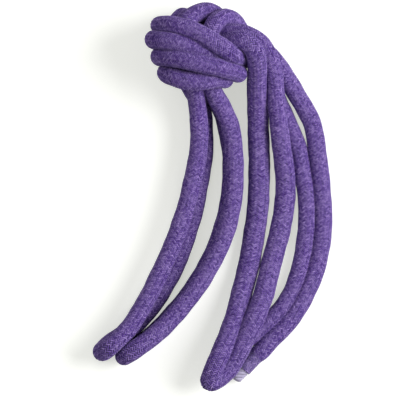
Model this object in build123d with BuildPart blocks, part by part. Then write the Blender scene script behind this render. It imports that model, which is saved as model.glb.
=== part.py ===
"""Soft rope folded in four and tied in one overhand knot.

It is one rope with two free ends. Folded in four, it has two eyes at the foot of the left legs and one
eye at the foot of the right legs, and all four strands run together through the knot. Each free end is
cut back to its core and closed by a clear sleeve. Millimetres, lying on Z = 0 with the knot towards +Y.
"""

from build123d import *
import math
import os

import numpy as np

# The rope and its ends
rope_diameter = 9.0
sleeve_length = 19.0
sleeve_wall = 0.5
cover_wall = 0.5
core_show = 8.0  # how far the core stands out of the cover inside its sleeve
core_recess = 1.0  # from the end of the core to the mouth of its sleeve
strand_gap = 0.6  # kept between strands where they are drawn up

# Drawing up the knot
lay_step = 3.2  # spacing of the points along a strand
draw_rounds = 900
evenness = 0.06
stiffness = 0.3
plan_pull = 0.114  # towards where a point was laid, in plan
rise_pull = 0.038  # and in height
shown_pull = 0.17  # in plan, on what lies above shown_height, the side that is seen
shown_height = 24.0
shown_depth = 6.0  # over which that pull sets in
shown_share = 0.125  # of the pull on what is seen that stays on to the end
pushes = 8  # apart in each round
push_share = 0.35
near_share = 1.6  # of the reach, within which two points of one strand can't touch
arc_share = 0.45  # of the shorter run beside a corner
centring = (-0.15, -0.95, 0)  # puts the middle of the whole at X = Y = 0

# Strands 1 to 4 through the knot as they are laid, from the left legs to the right legs: up inside the
# knot, over its top and down behind, up the right side, across the front, down the left side, back
# behind, and out above the first fold to the right legs.
knot_strands = [
    [(2.5, 58.5, 21), (0.5, 67, 28.5), (-0.5, 80, 35), (-1, 88, 36), (3, 93.5, 33), (8, 93.5, 27),
     (11.5, 91.5, 18.5), (15.5, 88.5, 10), (17.6, 86, 4.8), (17.8, 80, 5), (16.8, 75.5, 11), (16.5, 74, 20),
     (15, 74, 30), (11.5, 76.5, 39), (6, 80.5, 44), (-1, 85.5, 46), (-9, 90, 46), (-18, 93.5, 45),
     (-25.5, 94.4, 40.5), (-28.5, 94.2, 32), (-28, 93.2, 22), (-24, 91.5, 14.5), (-17, 90.5, 12),
     (-10, 90, 15), (-3, 90, 18.5), (4, 89, 21.5), (11, 87.5, 23.3), (18, 86, 24), (25, 83, 22),
     (31, 78.5, 18), (36, 73, 12.5), (40, 67, 9.5), (44, 60, 7), (48, 52.5, 5.2), (52, 45.5, 4.6)],
    [(2.5, 58, 12), (-1, 67, 19), (-5.5, 77, 24), (-6, 85, 25.5), (-5, 91.5, 23), (-3.5, 94, 16),
     (-1.8, 92, 8), (-0.8, 87, 4.7), (0, 81, 4.7), (2.5, 76, 8), (5, 74.5, 17), (6, 74.5, 27),
     (3.5, 76.5, 36.5), (-2, 79, 42), (-10, 81.5, 45), (-19, 84, 46), (-28, 85.6, 43),
     (-34, 86.2, 33), (-34, 86, 23), (-28, 85, 15), (-18, 84, 13), (-9, 84.5, 14.5), (-2, 86, 20),
     (5, 88, 27), (13, 89.5, 32.5), (19.5, 89, 33), (26, 85, 30), (31, 79.5, 26.5), (34, 72.5, 22),
     (35.3, 65, 17.5), (36.1, 56, 15), (37.2, 47, 13.5)],
    [(-6.5, 59, 22.5), (-10, 69, 30), (-15, 80, 34), (-16, 90, 33), (-12, 95.5, 31), (-5, 99.5, 27),
     (1.5, 99.5, 18), (6, 96, 9.5), (8.3, 91, 4.8), (8.6, 84, 4.6), (10.5, 76.5, 5), (15, 70, 11),
     (16, 68, 20), (13.5, 67.5, 30), (9.5, 69, 38), (3, 70.8, 43.5), (-4, 72.3, 46),
     (-11, 73.8, 47), (-19, 75.3, 45), (-25, 76.5, 40), (-28, 77, 31), (-27.5, 77.5, 20),
     (-25, 77, 11), (-18, 76, 8), (-10, 76.5, 13.5), (-4, 79.5, 15), (3, 83, 15.2), (9, 84.5, 15),
     (14.5, 84.5, 14.5), (20, 82.5, 13.5), (24.5, 77.5, 12.5), (28.5, 72, 10), (32.5, 65, 8), (36.5, 57.5, 6),
     (40.5, 50, 5)],
    [(-7, 58, 12.5), (-12, 68, 20), (-19, 79, 26), (-20, 89, 29), (-18, 94.5, 27), (-14.5, 97.5, 17),
     (-12, 96, 8), (-10, 90, 4.6), (-9, 84, 4.6), (-5, 76, 4.8), (1.5, 69, 6), (6.5, 65, 14),
     (7.5, 64, 26), (3, 62.5, 36), (-4, 62, 41), (-11, 63, 43), (-18, 64.8, 42), (-22, 67, 37),
     (-23.5, 68.5, 29), (-23, 70, 20), (-20, 70, 13.5), (-15, 69.5, 13), (-10, 70.5, 14), (-5, 73, 15),
     (0.5, 78.5, 21), (6, 83, 31), (13, 86, 38), (20, 84.5, 42), (24, 80, 40), (25.7, 73, 32),
     (26, 65, 22), (26, 56, 14), (26, 47, 9.5)],
]

# Legs of strands 1 to 4, from the knot outwards. On the left, 1 and 3 lie on 2 and 4.
left_legs = [
    [(7, 50, 16), (11, 36.5, 15), (12, 23, 15), (12, 9, 15), (10.5, -6.5, 15), (6, -22, 15), (-2, -39, 15),
     (-12, -54.5, 15.5), (-23.5, -69, 17), (-34.5, -80.5, 20.5)],
    [(6, 50, 6), (8.5, 36.5, 4.5), (10.5, 23, 4.5), (10.5, 9, 4.5), (8, -6.5, 4.5), (3.5, -22, 4.5), (-4, -39, 4.5),
     (-14, -54.5, 4.5), (-25.5, -69, 4.5), (-36, -80.5, 4.5)],
    [(-5.5, 50, 16.5), (-5.5, 36.5, 15), (-7.5, 23, 15), (-10.5, 9, 15), (-14, -6, 15), (-19.5, -22, 15), (-27, -39, 15),
     (-35.5, -55.5, 16), (-45, -70.5, 18.5), (-52.5, -78, 21)],
    [(-5, 50, 6.3), (-4, 36.5, 4.5), (-4, 23, 4.5), (-6.5, 9, 4.5), (-10.5, -6, 4.5), (-16, -23, 4.5), (-23, -39.5, 4.5),
     (-32, -56.5, 4.5), (-43.5, -71.5, 4.5), (-52.5, -79, 4.5)],
]
right_legs = [
    [(56.5, 39.5, 4.5), (59.5, 28.5, 4.5), (61.5, 14.5, 4.5), (62.5, -2, 4.5), (62, -20, 4.5), (59.5, -36.5, 4.5),
     (53.5, -53, 4.5), (45, -67.5, 4.5), (35, -81, 4.5), (25.8, -89.6, 4.5)],
    [(38.5, 39.5, 13), (40.5, 28.5, 11.5), (41.5, 14.5, 9), (41.5, -2, 4.5), (37.5, -21.5, 4.5),
     (32.5, -41, 6), (28.5, -58.5, 11), (23.5, -73, 15.5), (17.5, -86, 17)],
    [(44.5, 39.5, 4.5), (48, 28.5, 4.5), (50.5, 14.5, 4.5), (52, -2, 4.5), (52, -19, 4.5), (49.5, -35.5, 4.5),
     (44, -49.5, 4.5), (38, -60, 4.5), (32, -66.8, 4.5)],
    [(26, 39.5, 7), (26, 28.5, 4.5), (26.5, 14.5, 4.5), (26.5, -2, 4.5), (24.5, -20, 4.5), (21.5, -38, 4.5),
     (17, -55, 4.5), (11.5, -72, 4.5), (6, -86.5, 4.5)],
]
# Eyes, from the upper strand over the fold to the lower one
left_eye_1 = [(-45.5, -88, 22.3), (-49.5, -91, 13.7), (-45.5, -88, 4.5)]
left_eye_2 = [(-59, -83.5, 22.3), (-63, -86.5, 13.7), (-59, -83.5, 4.5)]
right_eye = [(11, -96.5, 17), (4.5, -102.5, 11.5), (1.5, -98, 4.5)]


def spaced(points, step):
    """The points of a polyline at even spacing, near to step."""
    points = np.array(points, float)
    along = np.r_[0, np.cumsum(np.linalg.norm(np.diff(points, axis=0), axis=1))]
    stations = np.linspace(0, along[-1], int(round(along[-1] / step)) + 1)
    return np.stack([np.interp(stations, along, points[:, axis]) for axis in range(3)], axis=1)


def laid_strands():
    """The four strands as laid through the knot, with the start of their legs."""
    strands = []
    for k in range(4):
        points = [left_legs[k][1], left_legs[k][0], *knot_strands[k], right_legs[k][0], right_legs[k][1]]
        strands.append(spaced(points, lay_step))
    return strands


def drawn_up(strands):
    """The strands settled against each other: each point is drawn towards an even, stiff curve and
    back to where it was laid, and points of strands that touch are pushed a pitch apart."""
    reach = rope_diameter + strand_gap
    counts = [len(strand) for strand in strands]
    bounds = np.cumsum([0, *counts])
    place = np.vstack(strands)
    home = place.copy()
    strand_of = np.repeat(np.arange(len(strands)), counts)
    order = np.concatenate([np.arange(count) for count in counts])
    shown = np.clip((home[:, 2:] - shown_height) / shown_depth, 0, 1)
    in_plan = np.maximum(plan_pull, shown_pull * shown)
    hold = np.hstack([in_plan, in_plan, np.full_like(shown, rise_pull)])
    free = np.ones(len(place), bool)
    for first, last in zip(bounds[:-1], bounds[1:]):
        free[first : first + 3] = free[last - 3 : last] = False
    one, two = np.triu_indices(len(place), 1)
    apart = (strand_of[one] != strand_of[two]) | (abs(order[one] - order[two]) * lay_step > near_share * reach)
    one_all, two_all = one[apart], two[apart]
    for round_number in range(draw_rounds):
        if round_number % 10 == 0:
            near = np.linalg.norm(place[one_all] - place[two_all], axis=1) < near_share * reach
            one, two = one_all[near], two_all[near]
        looseness = np.maximum(shown_share * shown, 1 - 1.5 * round_number / draw_rounds)
        curve = np.zeros_like(place)
        spring = np.zeros_like(place)
        for first, last in zip(bounds[:-1], bounds[1:]):
            p = place[first:last]
            curve[first + 1 : last - 1] = (p[:-2] + p[2:]) / 2 - p[1:-1]
            c = curve[first:last]
            spring[first + 1 : last - 1] = c[1:-1] - (c[:-2] + c[2:]) / 2
        tension = evenness * min(1, 2 - 2 * round_number / draw_rounds)
        pull = tension * curve + stiffness * spring + hold * looseness * (home - place)
        place[free] += pull[free]
        for _ in range(pushes):
            between = place[one] - place[two]
            distance = np.linalg.norm(between, axis=1)
            touch = distance < reach
            push = between[touch] * (push_share * (reach / distance[touch] - 1))[:, None]
            move = np.zeros_like(place)
            touches = np.ones(len(place))
            np.add.at(move, one[touch], push)
            np.add.at(move, two[touch], -push)
            np.add.at(touches, one[touch], 1)
            np.add.at(touches, two[touch], 1)
            place[free] += (move / np.sqrt(touches)[:, None])[free]
            place[:, 2] = np.maximum(place[:, 2], rope_diameter / 2)
    return [place[first:last] for first, last in zip(bounds[:-1], bounds[1:])]


def corners(strand):
    """Every second point of a drawn strand, moved out by what the arcs will cut off its bends."""
    points = strand[2:-2:2]
    bend = np.zeros_like(points)
    bend[1:-1] = points[:-2] - 2 * points[1:-1] + points[2:]
    points = points - bend / 8
    points[:, 2] = np.maximum(points[:, 2], rope_diameter / 2)
    return [tuple(point) for point in points]


knot = [corners(strand) for strand in drawn_up(laid_strands())]

# The rope from end to end, cut into stretches
stretches = [
    ("right_leg_3", right_legs[2][:0:-1]),
    ("knot_strand_3", knot[2][::-1]),
    ("left_leg_3", left_legs[2][1:]),
    ("left_eye_2", left_eye_2),
    ("left_leg_4", left_legs[3][:0:-1]),
    ("knot_strand_4", knot[3]),
    ("right_leg_4", right_legs[3][1:]),
    ("right_eye", right_eye[::-1]),
    ("right_leg_2", right_legs[1][:0:-1]),
    ("knot_strand_2", knot[1][::-1]),
    ("left_leg_2", left_legs[1][1:]),
    ("left_eye_1", left_eye_1[::-1]),
    ("left_leg_1", left_legs[0][:0:-1]),
    ("knot_strand_1", knot[0]),
    ("right_leg_1", right_legs[0][1:]),
]


def arc_radii(points):
    """The radius of the arc at each corner of a route, as large as its two runs allow."""
    radii = []
    for before, at, after in zip(points, points[1:], points[2:]):
        run_in, run_out = at - before, after - at
        half_turn = math.radians(run_in.get_angle(run_out) / 2)
        radii.append(arc_share * min(run_in.length, run_out.length) / math.tan(half_turn))
    return radii


route = [Vector(*point) + centring for _, points in stretches for point in points]
radii = arc_radii(route)


def cut_after(index):
    """Where one stretch ends and the next starts: the middle of the run after a point."""
    return (route[index] + route[index + 1]) / 2


os.makedirs("parts", exist_ok=True)
nodes = []


def keep(part, name):
    """Label a finished sub-part and write it."""
    part.label = name
    nodes.append(part)
    export_step(part, f"parts/{name}.step")


first = 0
total_length = 0
for name, points in stretches:
    last = first + len(points) - 1
    start = [cut_after(first - 1)] if first > 0 else []
    end = [cut_after(last)] if last < len(route) - 1 else []
    inner = route[first : last + 1]
    bends = radii[max(first - 1, 0) : last]
    with BuildPart() as stretch:
        with BuildLine() as path:
            FilletPolyline(*start, *inner, *end, radius=bends)
        with BuildSketch(Plane(origin=path.line @ 0, z_dir=path.line % 0)):
            Circle(rope_diameter / 2)
        sweep()
    length = sum(edge.length for edge in path.line.edges())
    expected = math.pi * rope_diameter**2 / 4 * length
    print(name, "length", round(length, 1), "volume / section x length",
          round(stretch.part.volume / expected, 5), "least radius", round(min(bends), 1))
    total_length += length
    keep(stretch.part, name)
    first = last + 1

# Free ends: sleeve, the cover that it grips and the core that shows in it
grip_diameter = rope_diameter - 2 * sleeve_wall
core_diameter = grip_diameter - 2 * cover_wall
cover_grip = sleeve_length - core_show - core_recess
for number, mouth, behind in ((1, route[-1], route[-2]), (3, route[0], route[1])):
    axis = Plane(origin=mouth, z_dir=mouth - behind)
    with BuildPart() as sleeve:
        with BuildSketch(axis):
            Circle(rope_diameter / 2)
            Circle(grip_diameter / 2, mode=Mode.SUBTRACT)
        extrude(amount=sleeve_length)
    keep(sleeve.part, f"end_sleeve_{number}")
    with BuildPart() as cover:
        with BuildSketch(axis):
            Circle(grip_diameter / 2)
            Circle(core_diameter / 2, mode=Mode.SUBTRACT)
        extrude(amount=cover_grip)
    keep(cover.part, f"gripped_cover_{number}")
    with BuildPart() as core:
        with BuildSketch(axis):
            Circle(core_diameter / 2)
        extrude(amount=sleeve_length - core_recess)
    keep(core.part, f"core_end_{number}")

print("rope length", round(total_length + 2 * cover_grip), "in", len(route), "points")
print("least arc radius", round(min(radii), 1))
box = Compound(children=nodes).bounding_box()
print("middle", box.center(), "size", box.size, "floor", box.min.Z)
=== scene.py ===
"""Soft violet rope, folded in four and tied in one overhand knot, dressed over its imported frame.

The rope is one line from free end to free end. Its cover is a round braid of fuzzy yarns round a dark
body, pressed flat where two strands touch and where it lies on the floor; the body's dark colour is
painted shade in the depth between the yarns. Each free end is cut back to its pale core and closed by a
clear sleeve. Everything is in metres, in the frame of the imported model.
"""

import logging
import math
from dataclasses import dataclass
from enum import Enum

import bpy
import numpy as np
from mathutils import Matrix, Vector


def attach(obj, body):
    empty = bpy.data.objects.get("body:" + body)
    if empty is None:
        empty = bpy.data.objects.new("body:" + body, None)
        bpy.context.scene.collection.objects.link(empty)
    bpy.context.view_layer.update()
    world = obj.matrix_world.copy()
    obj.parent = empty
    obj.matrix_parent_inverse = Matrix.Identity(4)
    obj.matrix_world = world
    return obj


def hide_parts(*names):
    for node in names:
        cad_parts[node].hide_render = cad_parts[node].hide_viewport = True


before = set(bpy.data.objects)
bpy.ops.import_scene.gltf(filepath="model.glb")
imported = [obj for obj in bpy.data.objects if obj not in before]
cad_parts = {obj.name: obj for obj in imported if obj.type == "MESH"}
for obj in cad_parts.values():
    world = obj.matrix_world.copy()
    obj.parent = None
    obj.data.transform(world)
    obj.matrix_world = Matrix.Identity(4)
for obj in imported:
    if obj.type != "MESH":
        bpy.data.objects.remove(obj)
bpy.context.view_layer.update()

log = logging.getLogger("rope_hank")

Point = tuple[float, float, float]
ROOT = "root"
LANE_SHARE = 0.9  # how much of each whole step of U a yarn's width takes up in its UV map

# Strands 1 to 4 through the knot as they are laid, from the left legs to the right legs: up inside the
# knot, over its top and down behind, up the right side, across the front, down the left side, back
# behind, and out above the first fold to the right legs.
KNOT_STRANDS: list[list[Point]] = [
    [(0.0025, 0.0585, 0.021), (0.0005, 0.067, 0.0285), (-0.0005, 0.08, 0.035), (-0.0022, 0.0885, 0.036),
     (0.0012, 0.0934, 0.033), (0.006, 0.0922, 0.027), (0.01, 0.0898, 0.0185), (0.015, 0.0875, 0.01),
     (0.0176, 0.086, 0.0048), (0.0178, 0.08, 0.005), (0.0168, 0.0755, 0.011), (0.0165, 0.074, 0.02),
     (0.015, 0.074, 0.03), (0.0115, 0.0765, 0.039), (0.006, 0.0805, 0.044), (-0.001, 0.0855, 0.046),
     (-0.009, 0.09, 0.046), (-0.018, 0.0935, 0.045), (-0.0254, 0.0938, 0.0405),
     (-0.0282, 0.0938, 0.032), (-0.0278, 0.0928, 0.022), (-0.024, 0.0915, 0.0145),
     (-0.017, 0.0905, 0.012), (-0.01, 0.09, 0.015), (-0.003, 0.09, 0.0185), (0.004, 0.089, 0.0215),
     (0.011, 0.0875, 0.0233), (0.018, 0.086, 0.024), (0.025, 0.083, 0.022), (0.031, 0.0785, 0.018),
     (0.036, 0.073, 0.0125), (0.04, 0.067, 0.0095), (0.0448, 0.06, 0.007), (0.0489, 0.0525, 0.0052),
     (0.0538, 0.0458, 0.0046)],
    [(0.0025, 0.058, 0.012), (-0.001, 0.067, 0.019), (-0.0055, 0.077, 0.024), (-0.006, 0.085, 0.0255),
     (-0.005, 0.0915, 0.023), (-0.0035, 0.094, 0.016), (-0.0018, 0.092, 0.008),
     (-0.0008, 0.087, 0.0047), (0, 0.081, 0.0047), (0.0025, 0.076, 0.008), (0.005, 0.0745, 0.017),
     (0.006, 0.0745, 0.027), (0.0035, 0.0765, 0.0365), (-0.002, 0.079, 0.042), (-0.01, 0.0815, 0.045),
     (-0.019, 0.084, 0.046), (-0.028, 0.0856, 0.043), (-0.0325, 0.086, 0.033), (-0.0325, 0.0858, 0.023),
     (-0.028, 0.085, 0.015), (-0.018, 0.084, 0.013), (-0.009, 0.0845, 0.0145), (-0.002, 0.086, 0.02),
     (0.005, 0.088, 0.027), (0.013, 0.0895, 0.0325), (0.0195, 0.089, 0.033), (0.026, 0.085, 0.03),
     (0.031, 0.0795, 0.0265), (0.034, 0.0725, 0.022), (0.035, 0.065, 0.0175), (0.0353, 0.056, 0.015),
     (0.0357, 0.047, 0.0135)],
    [(-0.008, 0.0586, 0.0225), (-0.01, 0.069, 0.03), (-0.015, 0.08, 0.034), (-0.0168, 0.091, 0.033),
     (-0.013, 0.0977, 0.031), (-0.0058, 0.1013, 0.027), (0.001, 0.1005, 0.018),
     (0.0055, 0.0965, 0.0095), (0.0083, 0.091, 0.0048), (0.0086, 0.084, 0.0046),
     (0.0105, 0.0765, 0.005), (0.0148, 0.0706, 0.011), (0.0173, 0.0701, 0.02), (0.0151, 0.0695, 0.03),
     (0.0105, 0.0692, 0.038), (0.003, 0.0708, 0.0435), (-0.004, 0.0723, 0.046), (-0.011, 0.0738, 0.047),
     (-0.019, 0.0753, 0.045), (-0.026, 0.0763, 0.04), (-0.0293, 0.0768, 0.031), (-0.0282, 0.0773, 0.02),
     (-0.0255, 0.077, 0.011), (-0.018, 0.076, 0.008), (-0.01, 0.0765, 0.0135), (-0.004, 0.0795, 0.015),
     (0.003, 0.083, 0.0152), (0.009, 0.0845, 0.015), (0.0145, 0.0845, 0.0145), (0.02, 0.0825, 0.0135),
     (0.0245, 0.0775, 0.0125), (0.0285, 0.072, 0.01), (0.0325, 0.065, 0.008), (0.0338, 0.0575, 0.006),
     (0.0372, 0.05, 0.005)],
    [(-0.0076, 0.058, 0.0125), (-0.012, 0.068, 0.02), (-0.02, 0.079, 0.026), (-0.022, 0.09, 0.029),
     (-0.021, 0.096, 0.027), (-0.0175, 0.099, 0.017), (-0.014, 0.0975, 0.008), (-0.01, 0.09, 0.0046),
     (-0.009, 0.084, 0.0046), (-0.005, 0.076, 0.0048), (0.0015, 0.069, 0.006), (0.0026, 0.0669, 0.014),
     (0.0029, 0.0661, 0.026), (-0.0002, 0.064, 0.036), (-0.0045, 0.0622, 0.041),
     (-0.0115, 0.0626, 0.043), (-0.019, 0.064, 0.042), (-0.0235, 0.0663, 0.037),
     (-0.0256, 0.0677, 0.029), (-0.024, 0.0688, 0.02), (-0.0205, 0.069, 0.0135),
     (-0.015, 0.0695, 0.013), (-0.01, 0.0705, 0.014), (-0.005, 0.073, 0.015), (0.0005, 0.0785, 0.021),
     (0.006, 0.083, 0.031), (0.013, 0.086, 0.038), (0.02, 0.0845, 0.042), (0.024, 0.08, 0.04),
     (0.025, 0.073, 0.032), (0.0249, 0.065, 0.022), (0.0253, 0.056, 0.014), (0.0255, 0.047, 0.0095)],
]
# Legs of strands 1 to 4, from the knot outwards. On the left, 1 and 3 lie on 2 and 4.
LEFT_LEGS: list[list[Point]] = [
    [(0.0065, 0.05, 0.016), (0.0109, 0.0365, 0.015), (0.0127, 0.023, 0.015), (0.0128, 0.009, 0.015),
     (0.0116, -0.0066, 0.015), (0.0074, -0.0223, 0.015), (-0.0006, -0.0394, 0.015),
     (-0.0109, -0.0551, 0.0155), (-0.0228, -0.0693, 0.017), (-0.0343, -0.08, 0.0205)],
    [(0.0055, 0.05, 0.006), (0.0087, 0.0365, 0.0045), (0.0111, 0.023, 0.0045), (0.0112, 0.009, 0.0045),
     (0.0093, -0.0066, 0.0045), (0.0051, -0.0224, 0.0045), (-0.0024, -0.0395, 0.0045),
     (-0.0125, -0.0552, 0.0045), (-0.0245, -0.0694, 0.0045), (-0.0358, -0.08, 0.0045)],
    [(-0.0078, 0.0501, 0.0165), (-0.0066, 0.0365, 0.015), (-0.0073, 0.023, 0.015),
     (-0.0103, 0.009, 0.015), (-0.0138, -0.006, 0.015), (-0.0192, -0.022, 0.015),
     (-0.0265, -0.039, 0.015), (-0.0348, -0.0558, 0.016), (-0.0437, -0.0713, 0.0185),
     (-0.051, -0.0792, 0.021)],
    [(-0.0051, 0.05, 0.0063), (-0.0041, 0.0365, 0.0045), (-0.004, 0.023, 0.0045),
     (-0.0063, 0.009, 0.0045), (-0.009, -0.0063, 0.0045), (-0.0139, -0.0236, 0.0045),
     (-0.0204, -0.0407, 0.0045), (-0.03, -0.0578, 0.0045), (-0.042, -0.0723, 0.0045),
     (-0.0519, -0.0789, 0.0045)],
]
RIGHT_LEGS: list[list[Point]] = [
    [(0.0566, 0.0395, 0.0045), (0.0581, 0.0285, 0.0045), (0.0599, 0.0145, 0.0045),
     (0.0617, -0.002, 0.0045), (0.062, -0.02, 0.0045), (0.0595, -0.0365, 0.0045),
     (0.0535, -0.053, 0.0045), (0.0449, -0.068, 0.0047), (0.0335, -0.0798, 0.00495),
     (0.0246, -0.0892, 0.00495)],
    [(0.037, 0.0395, 0.013), (0.0385, 0.0285, 0.0115), (0.0406, 0.0145, 0.009),
     (0.0413, -0.002, 0.0048), (0.0377, -0.0215, 0.0048), (0.0322, -0.041, 0.006),
     (0.0281, -0.0587, 0.0115), (0.0213, -0.0732, 0.015), (0.0152, -0.0865, 0.0149)],
    [(0.0427, 0.0395, 0.0045), (0.0474, 0.0285, 0.0045), (0.0506, 0.0145, 0.0045),
     (0.0531, -0.002, 0.0045), (0.0531, -0.019, 0.0045), (0.0505, -0.0352, 0.0045),
     (0.0467, -0.0498, 0.0045), (0.041, -0.0605, 0.0047), (0.034, -0.0679, 0.00495),
     (0.0196, -0.0804, 0.00495)],
    [(0.0259, 0.0395, 0.0072), (0.0262, 0.0285, 0.0053), (0.0265, 0.0145, 0.0053),
     (0.0262, -0.002, 0.0053), (0.024, -0.02, 0.005), (0.0209, -0.038, 0.0048), (0.0166, -0.055, 0.008),
     (0.0118, -0.072, 0.014), (0.0049, -0.0876, 0.0193)],
]
# Eyes: on the left from the upper strand over the fold to the lower one, on the right from strand 2
# over the fold to strand 4, which lies on it there
LEFT_EYE_1: list[Point] = [
    (-0.0452, -0.087, 0.0223), (-0.0494, -0.0897, 0.0137), (-0.0456, -0.0866, 0.0045)
]
LEFT_EYE_2: list[Point] = [
    (-0.0573, -0.0849, 0.0223), (-0.0617, -0.0875, 0.0137), (-0.0584, -0.0834, 0.0045)
]
RIGHT_EYE: list[Point] = [
    (0.0092, -0.0974, 0.0127), (-0.002, -0.1052, 0.0165), (0.0004, -0.0972, 0.0208)
]
CENTRING: Point = (-0.00015, -0.00095, 0)


class Slot(Enum):
    """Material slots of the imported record."""

    COVER = "rope_cover"
    CORE = "rope_core"
    SLEEVE = "clear_sleeve"


class Lay(Enum):
    """The way that a yarn of the braid winds round the rope, seen along it."""

    RIGHT = 1
    LEFT = -1


def spaced(points: np.ndarray, step: float) -> np.ndarray:
    """Points of a polyline at even spacing.

    Args:
        points: the polyline, one row a point.
        step: the spacing aimed at.

    Returns:
        The points at equal shares of the polyline's length, near to step apart.
    """
    points = np.array(points, float)
    along = np.r_[0, np.cumsum(np.linalg.norm(np.diff(points, axis=0), axis=1))]
    stations = np.linspace(0, along[-1], int(round(along[-1] / step)) + 1)
    return np.stack([np.interp(stations, along, points[:, axis]) for axis in range(3)], axis=1)


@dataclass(frozen=True)
class Route:
    """The line of the whole rope, laid by listed points and drawn up in the knot.

    Attributes:
        rope_diameter: thickness of the rope's body.
        strand_gap: what is left between drawn-up strands, below zero because they press together.
        lay_step: spacing of the points along a laid strand.
        draw_rounds: rounds of drawing up.
        evenness: how far a point goes towards the middle of its neighbours in a round.
        stiffness: how far it goes towards an even bend.
        plan_pull: how far it goes back to where it was laid, in plan.
        rise_pull: the same in height.
        shown_pull: the same in plan, on the side that is seen, which lies above shown_height.
        shown_height: height at which that pull sets in.
        shown_depth: height over which it sets in.
        shown_share: share of the pull on what is seen that stays on to the end.
        pull_fade: how fast the rest of the pull fades over the rounds.
        pushes: how often in a round strands that touch are pushed apart.
        push_share: share of an overlap that one push takes away.
        near_share: how many rope pitches away a point may be felt.
        search_every: rounds between two searches for the points that are that near.
        held_points: points at each end of a strand that stay where they were laid.
        cover_grip: length of cover inside each sleeve.
        pieces_per_point: straight pieces in each span of the smooth line.
    """

    rope_diameter: float = 0.009
    strand_gap: float = -0.0006
    lay_step: float = 0.0032
    draw_rounds: int = 900
    evenness: float = 0.06
    stiffness: float = 0.3
    plan_pull: float = 0.114
    rise_pull: float = 0.038
    shown_pull: float = 0.17
    shown_height: float = 0.024
    shown_depth: float = 0.006
    shown_share: float = 0.125
    pull_fade: float = 1.5
    pushes: int = 8
    push_share: float = 0.35
    near_share: float = 1.6
    search_every: int = 10
    held_points: int = 3
    cover_grip: float = 0.010
    pieces_per_point: int = 8

    def laid_strands(self) -> list[np.ndarray]:
        """The four strands as laid through the knot, with the start of their legs."""
        return [
            spaced([left[1], left[0], *inside, right[0], right[1]], self.lay_step)
            for left, inside, right in zip(LEFT_LEGS, KNOT_STRANDS, RIGHT_LEGS)
        ]

    def drawn_up(self, strands: list[np.ndarray]) -> list[np.ndarray]:
        """Settles the strands against each other.

        Each point is drawn towards an even, stiff curve and back to where it was laid, and points of
        strands that touch are pushed a pitch apart.

        Args:
            strands: the laid strands.

        Returns:
            The settled strands, with as many points each.
        """
        reach = self.rope_diameter + self.strand_gap
        counts = [len(strand) for strand in strands]
        bounds = np.cumsum([0, *counts])
        place = np.vstack(strands)
        home = place.copy()
        strand_of = np.repeat(np.arange(len(strands)), counts)
        order = np.concatenate([np.arange(count) for count in counts])
        shown = np.clip((home[:, 2:] - self.shown_height) / self.shown_depth, 0, 1)
        in_plan = np.maximum(self.plan_pull, self.shown_pull * shown)
        hold = np.hstack([in_plan, in_plan, np.full_like(shown, self.rise_pull)])
        free = np.ones(len(place), bool)
        for first, last in zip(bounds[:-1], bounds[1:]):
            free[first : first + self.held_points] = free[last - self.held_points : last] = False
        near = self.near_share * reach
        one, two = np.triu_indices(len(place), 1)
        apart = (strand_of[one] != strand_of[two]) | (abs(order[one] - order[two]) * self.lay_step > near)
        one_all, two_all = one[apart], two[apart]
        for round_number in range(self.draw_rounds):
            if round_number % self.search_every == 0:
                close = np.linalg.norm(place[one_all] - place[two_all], axis=1) < near
                one, two = one_all[close], two_all[close]
            share = round_number / self.draw_rounds
            looseness = np.maximum(self.shown_share * shown, 1 - self.pull_fade * share)
            curve = np.zeros_like(place)
            spring = np.zeros_like(place)
            for first, last in zip(bounds[:-1], bounds[1:]):
                p = place[first:last]
                curve[first + 1 : last - 1] = (p[:-2] + p[2:]) / 2 - p[1:-1]
                c = curve[first:last]
                spring[first + 1 : last - 1] = c[1:-1] - (c[:-2] + c[2:]) / 2
            tension = self.evenness * min(1, 2 - 2 * share)
            pull = tension * curve + self.stiffness * spring + hold * looseness * (home - place)
            place[free] += pull[free]
            for _ in range(self.pushes):
                between = place[one] - place[two]
                distance = np.linalg.norm(between, axis=1)
                touch = distance < reach
                push = between[touch] * (self.push_share * (reach / distance[touch] - 1))[:, None]
                move = np.zeros_like(place)
                touches = np.ones(len(place))
                np.add.at(move, one[touch], push)
                np.add.at(move, two[touch], -push)
                np.add.at(touches, one[touch], 1)
                np.add.at(touches, two[touch], 1)
                place[free] += (move / np.sqrt(touches)[:, None])[free]
                place[:, 2] = np.maximum(place[:, 2], self.rope_diameter / 2)
        return [place[first:last] for first, last in zip(bounds[:-1], bounds[1:])]

    def corners(self, strand: np.ndarray) -> list[Point]:
        """Every second point of a drawn strand, moved out by what a smooth line cuts off its bends.

        That is an eighth of the second difference of the points.

        Args:
            strand: the settled points of one strand.

        Returns:
            The control points of its line.
        """
        points = strand[2:-2:2]
        bend = np.zeros_like(points)
        bend[1:-1] = points[:-2] - 2 * points[1:-1] + points[2:]
        points = points - bend / 8
        points[:, 2] = np.maximum(points[:, 2], self.rope_diameter / 2)
        return [tuple(point) for point in points]

    def control_points(self) -> np.ndarray:
        """Control points of the rope's line, from free end 3 to free end 1."""
        knot = [self.corners(strand) for strand in self.drawn_up(self.laid_strands())]
        route = [
            *RIGHT_LEGS[2][:0:-1], *knot[2][::-1], *LEFT_LEGS[2][1:],
            *LEFT_EYE_2, *LEFT_LEGS[3][:0:-1], *knot[3], *RIGHT_LEGS[3][1:],
            *RIGHT_EYE[::-1], *RIGHT_LEGS[1][:0:-1], *knot[1][::-1], *LEFT_LEGS[1][1:],
            *LEFT_EYE_1[::-1], *LEFT_LEGS[0][:0:-1], *knot[0], *RIGHT_LEGS[0][1:],
        ]
        route = np.array(route, float) + CENTRING
        ends = []
        for end, before in ((route[0], route[1]), (route[-1], route[-2])):
            ends.append(end + self.cover_grip * (end - before) / np.linalg.norm(end - before))
        return np.vstack([ends[0], route, ends[1]])

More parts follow.
